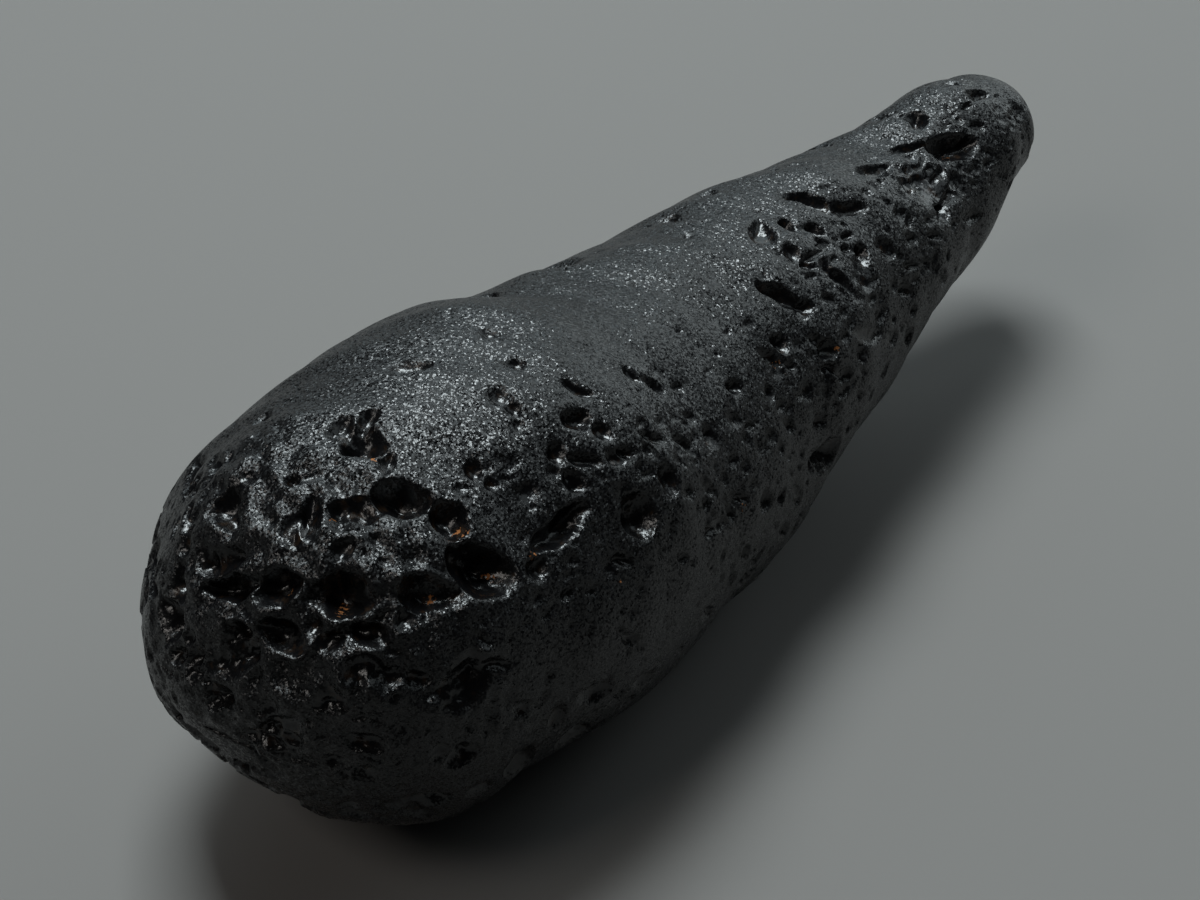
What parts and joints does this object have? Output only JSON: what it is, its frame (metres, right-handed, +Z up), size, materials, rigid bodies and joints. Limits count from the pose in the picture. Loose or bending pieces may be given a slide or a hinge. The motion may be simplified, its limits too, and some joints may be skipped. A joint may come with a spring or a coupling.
{
  "type": "tektite",
  "caption": "Long teardrop of black natural glass with a pitted blunt end and a knobbed tail, lying on a small flat spot as a specimen or paperweight.",
  "frame": {"origin": "centre of the bounding box's bottom, on the surface that the stone lies on", "axes": "+Z up, +X along the stone from its blunt end to its tail, -Y the side the picture shows"},
  "size_m": [0.078, 0.0275, 0.0268],
  "materials": {
    "tektite_glass": "black natural glass, etched to a fine half-dull skin, glossier inside the pits"
  },
  "bodies": {
    "root": {"tektite": "tektite_glass"}
  },
  "joints": []
}
